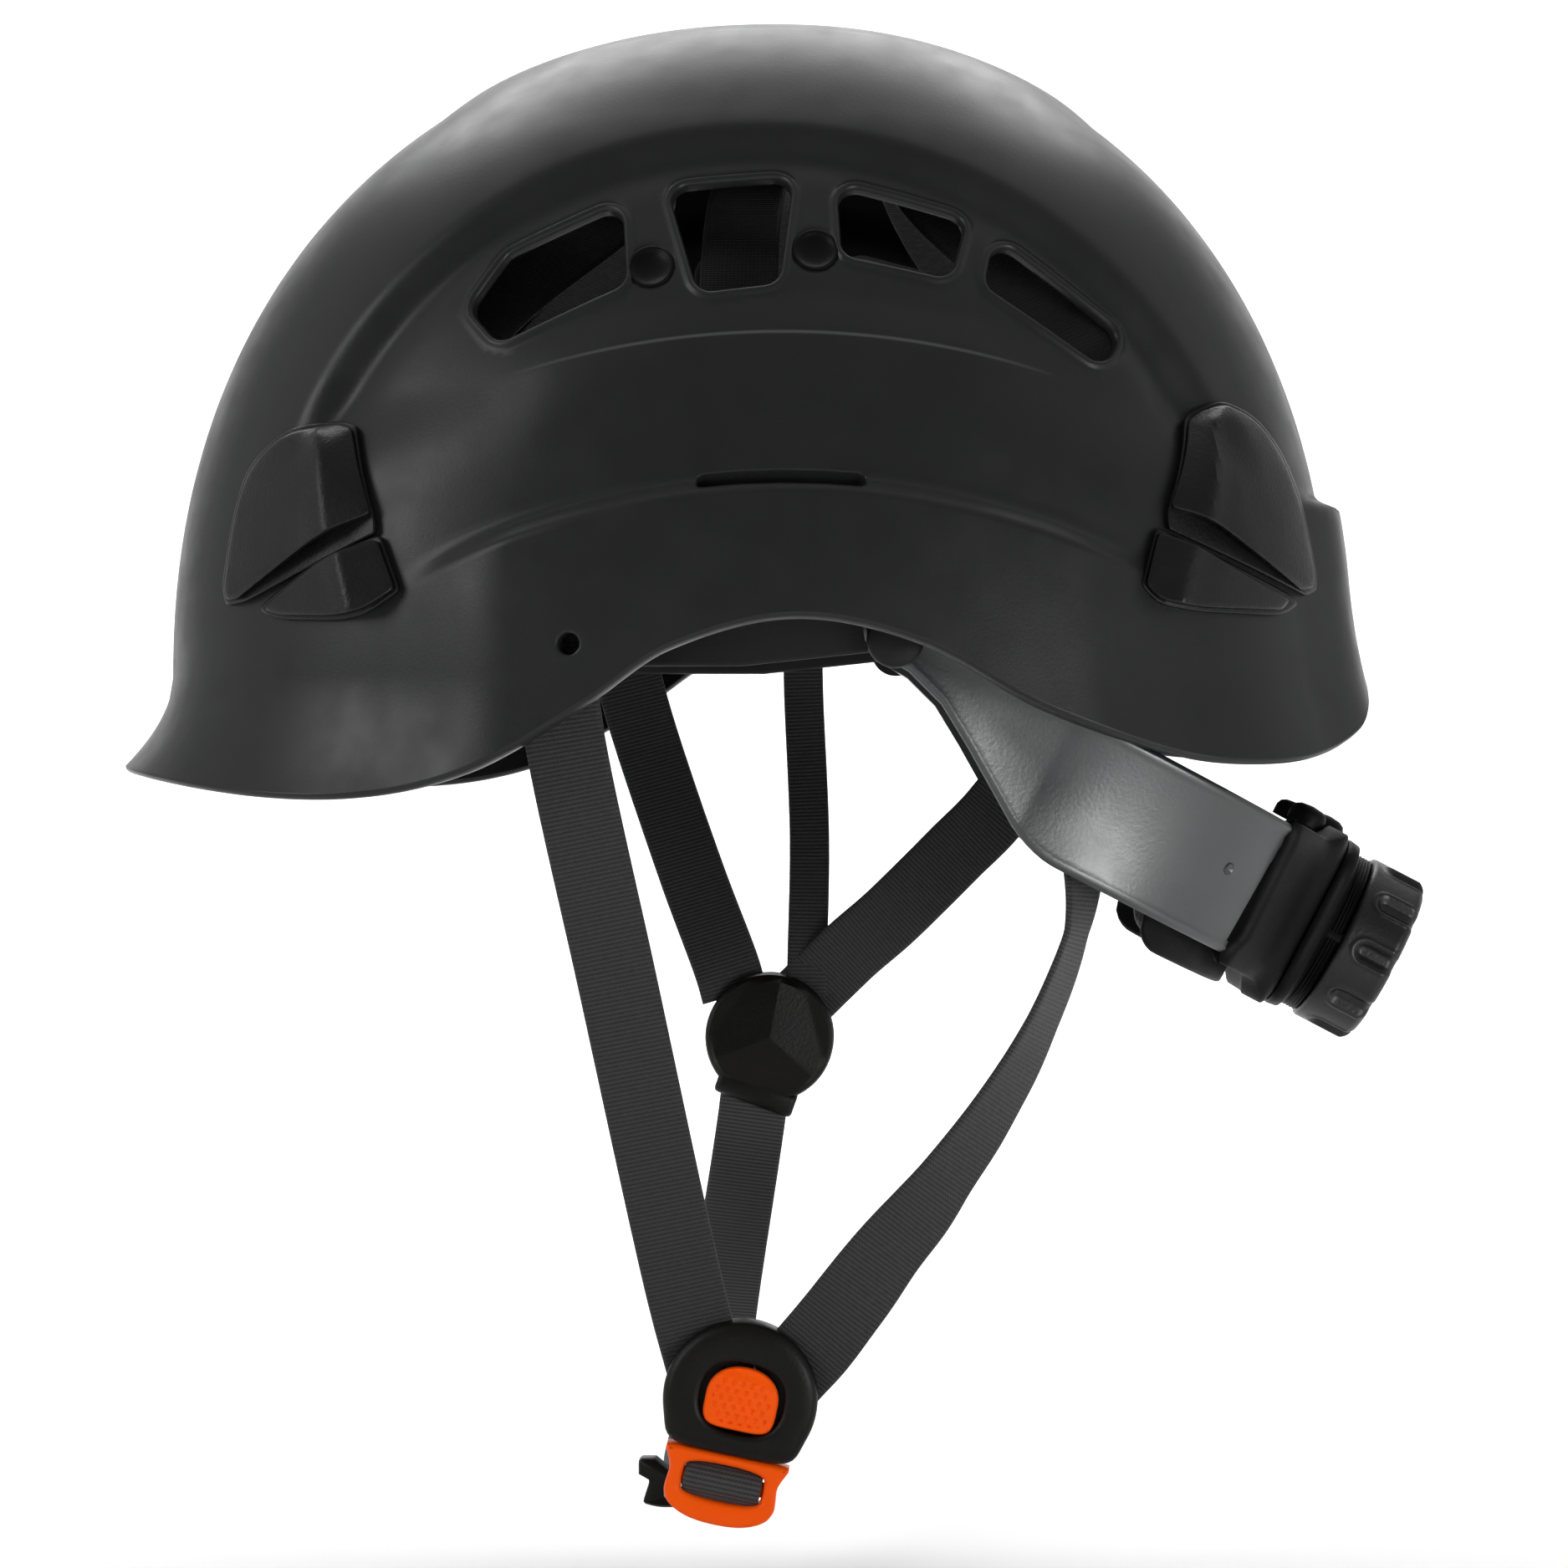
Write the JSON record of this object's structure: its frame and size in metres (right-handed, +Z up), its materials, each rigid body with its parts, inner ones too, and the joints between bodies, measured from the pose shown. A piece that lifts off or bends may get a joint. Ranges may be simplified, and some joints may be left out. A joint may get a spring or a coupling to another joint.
{
  "type": "climbing helmet",
  "caption": "Hard-shell climbing helmet with textile cradle, tilting nape frame with ratchet size adjuster, headlamp clips and a chin harness with push-button buckle.",
  "frame": {"origin": "on the median plane, level with the lower edge of the headband, below the crown", "axes": "-X to the front of the helmet, -Y to the wearer's left, +Z up"},
  "size_m": [0.3195, 0.2164, 0.3567],
  "materials": {
    "shell": "satin dark grey, fine moulded grain",
    "clip": "glossy black",
    "rivet": "matt black",
    "insert": "bright steel",
    "inner_plastic": "matt black",
    "foam": "dark foam with fabric face",
    "webbing": "woven polyester webbing",
    "arm": "satin charcoal",
    "nape_plastic": "matt black",
    "knob": "matt dark grey",
    "buckle": "satin black",
    "orange": "satin orange"
  },
  "bodies": {
    "helmet": {"shell": "shell", "headlamp_clip_front_left": "clip", "headlamp_clip_front_right": "clip", "headlamp_clip_rear_left": "clip", "headlamp_clip_rear_right": "clip", "cradle_rivet_front_left": "rivet", "cradle_rivet_front_right": "rivet", "cradle_rivet_rear_left": "rivet", "cradle_rivet_rear_right": "rivet", "visor_insert_left": "insert", "visor_insert_right": "insert", "button_spring": "insert", "headband_front": "inner_plastic", "cradle_lug_front_left": "inner_plastic", "cradle_lug_front_right": "inner_plastic", "cradle_lug_middle_left": "inner_plastic", "cradle_lug_middle_right": "inner_plastic", "cradle_lug_rear_left": "inner_plastic", "cradle_lug_rear_right": "inner_plastic", "nape_pivot_left": "inner_plastic", "nape_pivot_right": "inner_plastic", "strap_anchor_front_left": "inner_plastic", "strap_anchor_front_right": "inner_plastic", "strap_anchor_rear_left": "inner_plastic", "strap_anchor_rear_right": "inner_plastic", "brow_pad": "foam", "cradle_strap_front": "webbing", "cradle_strap_middle": "webbing", "cradle_strap_rear": "webbing", "strap_front_left": "webbing", "strap_rear_left": "webbing", "strap_front_right": "webbing", "strap_middle_right": "webbing", "strap_rear_right": "webbing", "chin_strap": "webbing", "buckle_front": "buckle", "buckle_back": "buckle"},
    "nape_frame": {"nape_arm_left": "arm", "nape_arm_right": "arm", "nape_support": "nape_plastic", "nape_pad": "foam", "ratchet_housing": "nape_plastic", "ratchet_cover": "nape_plastic", "detent_spring": "insert", "cover_screw_left": "insert", "cover_screw_right": "insert"},
    "knob": {"knob": "knob", "pinion": "nape_plastic", "knob_screw": "insert"},
    "rack_left": {"rack_left": "nape_plastic"},
    "rack_right": {"rack_right": "nape_plastic"},
    "button": {"buckle_button": "orange"},
    "tongue": {"buckle_tongue": "orange"},
    "divider": {"divider_front": "buckle", "divider_back": "buckle"},
    "keeper": {"strap_keeper": "buckle"}
  },
  "joints": [
    {"name": "nape_tilt", "type": "hinge", "parent": "helmet", "child": "nape_frame", "pos_m": [0.03, 0, 0.018], "axis": [0, 1, 0], "range_deg": [-10, 5]},
    {"name": "knob_turn", "type": "hinge", "parent": "nape_frame", "child": "knob", "pos_m": [0.02377, 0, 0.00602], "axis": [-0.887, 0, 0.4617], "range_deg": [-68, 158]},
    {"name": "rack_left_travel", "type": "hinge", "parent": "nape_frame", "child": "rack_left", "pos_m": [0.06548, 0, -0.00047], "axis": [0.4617, 0, 0.887], "range_deg": [-4.6, 10.7]},
    {"name": "rack_right_travel", "type": "hinge", "parent": "nape_frame", "child": "rack_right", "pos_m": [0.06548, 0, -0.00047], "axis": [0.4617, 0, 0.887], "range_deg": [-10.7, 4.6]},
    {"name": "button_press", "type": "slide", "parent": "helmet", "child": "button", "axis": [0, 1, 0], "range_m": [0, 0.002], "stiffness_N_per_m": 600, "springref_m": -0.001, "deforming": ["button_spring"]},
    {"name": "tongue_release", "type": "slide", "parent": "helmet", "child": "tongue", "axis": [-0.2079, 0, -0.9781], "range_m": [0, 0.016]},
    {"name": "divider_slide", "type": "slide", "parent": "helmet", "child": "divider", "axis": [0, 0, -1], "range_m": [-0.003, 0.003]},
    {"name": "keeper_slide", "type": "slide", "parent": "helmet", "child": "keeper", "axis": [0, 1, 0], "range_m": [-0.002, 0.004]}
  ],
  "couplings": [
    {"joint": "rack_left_travel", "follows": "knob_turn", "ratio": 0.067568},
    {"joint": "rack_right_travel", "follows": "knob_turn", "ratio": -0.067568}
  ]
}
